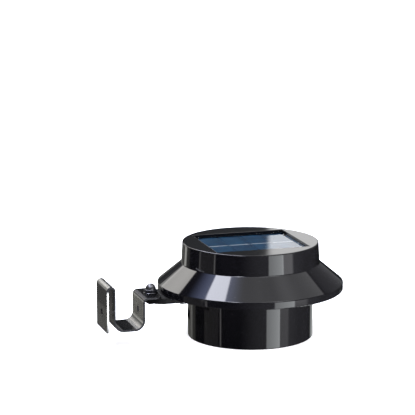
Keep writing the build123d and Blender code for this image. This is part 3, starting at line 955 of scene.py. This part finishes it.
def hook_holes():
    """Cutting mesh for the screw holes through the plates and for the bolt."""
    tool = bmesh.new()
    narrow, wide, soft = hook_hole_radius, hook_hole_radius + hook_hole_edge, hook_hole_edge
    outer = middle_x - 2 * fold_bend
    profile = [(leg_x + hook_thick + 2, wide)]
    for face in (leg_x, middle_x - hook_thick, outer):
        back = face + hook_thick
        profile += [(back, wide), (back - soft, narrow), (face + soft, narrow), (face, wide)]
    profile.append((outer - 2, wide))
    circle = [2 * math.pi * i / hole_steps for i in range(hole_steps)]
    rings = []
    for x, r in profile:
        rings.append([(x, r * math.cos(t), hook_hole_z + r * math.sin(t)) for t in circle])
    skin(tool, rings)
    bolt = [(bolt_x + washer_hole * math.cos(t), washer_hole * math.sin(t)) for t in circle]
    slab(tool, bolt, hook_top - 3, hook_top + 1)
    return tool


# Face colours from dark to pale carry the painted reflection; the second edge colour is the painted
# highlight of the outer plate's cut edges.
hook_plate = dark_steel("hook_dark_plate", (0.055, 0.055, 0.062, 1), (0.42, 0.415, 0.40, 1),
                        (0.035, 0.035, 0.038, 1), (0.62, 0.62, 0.61, 1), 0.12)
set_piece("gutter_hook", shaped(strip_mesh(), hook_holes(), "DIFFERENCE"), hook_plate,
          "hook", "hook_dark_plate", "hook_bracket")

# Studio: a wide pale floor, a soft light all round with one big soft box overhead to the left,
# one to the right of the camera and a pale wall behind, and the camera of the photograph.

view_turn = math.radians(17)
ahead = (math.sin(view_turn), math.cos(view_turn), 0)
aside = (math.cos(view_turn), -math.sin(view_turn), 0)
fill_turn = math.radians(140)
floor_half = 8
floor_level = -0.0002


def pale_floor():
    """White paper, open when it is seen from below."""
    material, tree, place = new_finish("pale_floor")
    paper = grain(tree, place, 60.0, 3.0)
    pale = tint(tree, paper, grey(0.80), grey(0.83))
    shade = tree.node("ShaderNodeBsdfDiffuse", None, {"Color": pale, "Roughness": 0.5})
    lit = tree.node("ShaderNodeEmission", None, {"Color": pale, "Strength": 0.9})
    both = tree.node("ShaderNodeAddShader", None, {0: shade, 1: lit})
    under = tree.node("ShaderNodeNewGeometry", out="Backfacing")
    open_below = tree.node("ShaderNodeBsdfTransparent")
    seen = tree.node("ShaderNodeMixShader", None, {0: under, 1: both, 2: open_below})
    tree.node("ShaderNodeOutputMaterial", None, {"Surface": seen})
    return material


floor_mesh = bmesh.new()
floor_corners = [(-floor_half, -floor_half), (floor_half, -floor_half),
                 (floor_half, floor_half), (-floor_half, floor_half)]
floor_mesh.faces.new([floor_mesh.verts.new((x, y, floor_level)) for x, y in floor_corners])
floor_data = bpy.data.meshes.new("floor")
floor_mesh.to_mesh(floor_data)
floor_mesh.free()
floor_data.materials.append(pale_floor())
floor = bpy.data.objects.new("floor", floor_data)
bpy.context.scene.collection.objects.link(floor)
floor.visible_glossy = False
floor.visible_shadow = False

world = bpy.data.worlds.new("studio")
world.use_nodes = True
world.node_tree.nodes.clear()
sky = Wire(world.node_tree)
outlook = sky.node("ShaderNodeTexCoord", out="Generated")


def along(way):
    """How far the look goes along a way, from -1 to 1."""
    ways = {0: outlook, 1: way}
    return sky.node("ShaderNodeVectorMath", {"operation": "DOT_PRODUCT"}, ways, out="Value")


def ramp(value, start, end):
    """Soft step from 0 to 1 between two values."""
    ends = {"Value": value, "From Min": start, "From Max": end}
    return sky.node("ShaderNodeMapRange", {"interpolation_type": "SMOOTHSTEP"}, ends)


def band(value, low, high, soft):
    """1 between two values, with soft edges."""
    return ramp(value, low - soft, low + soft) * (1 - ramp(value, high - soft, high + soft))


def glow(share, colour):
    """Light of one colour."""
    return sky.node("ShaderNodeVectorMath", {"operation": "SCALE"}, {0: colour, "Scale": share})


def together(*glows):
    """Sum of lights."""
    total = glows[0]
    for one in glows[1:]:
        total = sky.node("ShaderNodeVectorMath", {"operation": "ADD"}, {0: total, 1: one})
    return total


# Where each light stands, in degrees: bearing 0 is straight behind the lamp and grows to the
# right, and height 0 is level with it. The low cylinder mirrors what is deep below.
bearing = sky.math("ARCTAN2", along(aside), along(ahead)) * math.degrees(1)
height = sky.math("ARCSINE", along((0, 0, 1))) * math.degrees(1)
deep = 1 - ramp(height, -14.2, -13.7)
below = 1 - ramp(height, 0, 3)
above = ramp(height, 0, 6)
fill_way = [math.sin(fill_turn) * a + math.cos(fill_turn) * b for a, b in zip(aside, ahead)]
front = along(fill_way)
dark_card = band(bearing, -22, 1.9, 0.1) * (1 - ramp(height, 28, 30))
back_wall = band(bearing, -22, 4.6, 0.6) * band(height, 4, 43, 2) * (1 - dark_card)
fold_light = band(bearing, -23, -8, 1.0) * band(height, 14.6, 21, 0.8)
front_high = ramp(sky.math("ABSOLUTE", bearing), 95, 120) * band(height, 46, 66, 5)
far_floor = band(bearing, -5, 3, 1.0) * band(height, -17, -6, 1.0)
left_window = band(bearing, -50, -24, 1) * band(height, 17, 40.5, 0.6)
left_low_wall = band(bearing, -40, -25, 1.5) * band(height, -8, 17, 3.0)
right_back = band(bearing, 8, 60, 4) * band(height, 3, 37, 2)
side_light = band(bearing, 125, 151, 1.0) * (1 - 0.99 * above) * ramp(height, -60, -30)
side_fill = band(bearing, 107, 126, 3) * (1 - 0.96 * above)
right_fill = ramp(bearing, 25, 95) * (1 - ramp(bearing, 104, 112)) * (1 - ramp(height, 30, 38))
warm_panel = band(bearing, -118, -86, 1.5) * (1 - ramp(height, 20, 50))
warm_line = band(bearing - 5.5 * (1 - deep), -124.5, -121.8, 0.5) * (1 - ramp(height, 20, 40))
crown_line = band(bearing, -88, -85, 0.7) * (1 - deep) * (1 - ramp(height, 10, 20))
left_wall = band(bearing, -58, -4, 2.5) * below
left_line = band(bearing, -46, -37, 1.5) * below
right_rim = band(bearing, 4, 36, 3) * deep
ceiling = ramp(height, 52, 78)
right_ceiling = ramp(along(aside), 0.25, 0.45) * ramp(height, 37, 39)
strip_place = along(aside) / sky.math("MAXIMUM", along((0, 0, 1)), 0.01)
top_strip = band(strip_place, -0.52, -0.285, 0.012) * ramp(height, 30, 40)
top_halo = band(strip_place, -0.66, -0.20, 0.14) * ramp(height, 30, 45)
light = together(
    glow(0.02, (1.0, 1.0, 1.08)),
    glow(ramp(front, 0.45, 1.0) * (0.5 - 0.44 * band(height, 8, 36, 4)), (1.0, 1.0, 1.08)),
    glow(back_wall * 1.65, (1.0, 1.0, 1.0)),
    glow(dark_card * band(height, 4, 28, 2) * 0.05, (0.95, 1.03, 1.02)),
    glow(left_window * (2.7 + 3.2 * ramp(height, 18, 40)), (1.0, 0.98, 0.95)),
    glow(left_low_wall * (0.5 + 1.0 * ramp(height, 4, 14)), (1.0, 1.0, 0.98)),
    glow(fold_light * 2.4, (1.0, 1.0, 1.0)),
    glow(front_high * (3.0 + 5.0 * band(bearing, 122, 158, 12)), (1.0, 1.0, 1.05)),
    glow(far_floor * 1.6, (1.0, 1.0, 0.98)),
    glow(right_back * 0.22, (1.0, 1.0, 1.08)),
    glow(side_light * (8.0 - 0.14 * (bearing - 125)), (0.97, 1.01, 1.03)),
    glow(side_fill * (1.2 + 1.5 * (1 - deep)), (1.0, 0.99, 1.03)),
    glow(right_fill * 0.3, (1.0, 1.0, 1.1)),
    glow(warm_panel * 0.25, (1.0, 0.97, 0.95)),
    glow(warm_line * 1.9, (1.0, 0.99, 1.0)),
    glow(crown_line * 1.0, (1.0, 1.0, 1.0)),
    glow(left_wall * 0.2, (1.0, 1.0, 0.92)),
    glow(left_line * (0.4 + 1.1 * (1 - deep)), (1.0, 1.0, 0.95)),
    glow(right_rim * 0.8, (0.97, 1.01, 1.01)),
    glow(ceiling * 1.5, (1.0, 1.0, 1.03)),
    glow(right_ceiling * 1.3, (1.0, 1.0, 1.03)),
    glow(top_strip * 16.0, (0.97, 0.98, 1.05)),
    glow(top_halo * 3.0, (0.55, 0.65, 1.1)),
)
straight = sky.node("ShaderNodeLightPath", out="Is Camera Ray")
shown = tint(sky, straight, light, grey(0.93))
backdrop = sky.node("ShaderNodeBackground", None, {"Color": shown, "Strength": 1.0})
sky.node("ShaderNodeOutputWorld", None, {"Surface": backdrop})
bpy.context.scene.world = world
bpy.context.scene.view_settings.view_transform = "Standard"

lens_data = bpy.data.cameras.new("photo_camera")
lens_data.sensor_width = 36.0
lens_data.lens = 164.8
camera = bpy.data.objects.new("photo_camera", lens_data)
camera.location = (-0.3449, -1.0414, 0.2960)
camera.rotation_euler = Vector((0.2867, 0.9377, -0.1962)).to_track_quat("-Z", "Y").to_euler()
bpy.context.scene.collection.objects.link(camera)
bpy.context.scene.camera = camera
